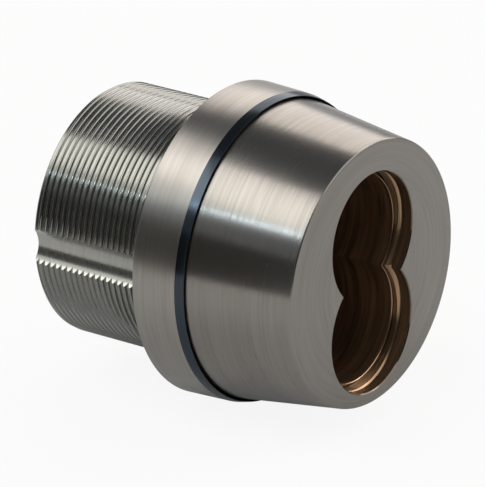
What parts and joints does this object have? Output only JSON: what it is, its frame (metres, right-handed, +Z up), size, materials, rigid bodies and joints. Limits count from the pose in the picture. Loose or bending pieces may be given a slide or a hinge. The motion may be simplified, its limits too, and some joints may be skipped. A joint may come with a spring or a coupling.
{
  "type": "mortise cylinder",
  "caption": "Threaded mortise cylinder housing with a stepped figure-eight pocket for an interchangeable core, a sprung trim collar and a rear cam.",
  "frame": {"origin": "on the barrel's axis, in the plane of the trim collar's rear face, where the door's surface lies", "axes": "+Y runs back along the threaded barrel to the cam and -Y is the front face's normal; +X is right seen from the front; +Z is up, with the plug's lobe above"},
  "size_m": [0.0362, 0.0395, 0.0362],
  "materials": {
    "satin_nickel": "satin nickel plate over turned brass, brushed round the axis",
    "spring_steel": "bare rolled strip",
    "driver_brass": "bare turned brass",
    "pin_steel": "ground steel",
    "cam_steel": "stamped and plated",
    "screw_steel": "plated screw"
  },
  "bodies": {
    "housing": {"housing": "satin_nickel", "collar_wave_spring": "spring_steel"},
    "collar": {"trim_collar": "satin_nickel"},
    "cam": {"core_driver": "driver_brass", "throw_pin_upper": "pin_steel", "throw_pin_lower": "pin_steel", "cam": "cam_steel", "cam_screw_left": "screw_steel", "cam_screw_right": "screw_steel"}
  },
  "joints": [
    {"name": "collar_slide", "type": "slide", "parent": "housing", "child": "collar", "axis": [0, -1, 0], "range_m": [0, 0.0011], "stiffness_N_per_m": 1500, "deforming": ["collar_wave_spring"]},
    {"name": "cam_turn", "type": "hinge", "parent": "housing", "child": "cam", "pos_m": [0, 0.01685, 0.004], "axis": [0, -1, 0], "continuous": true}
  ]
}
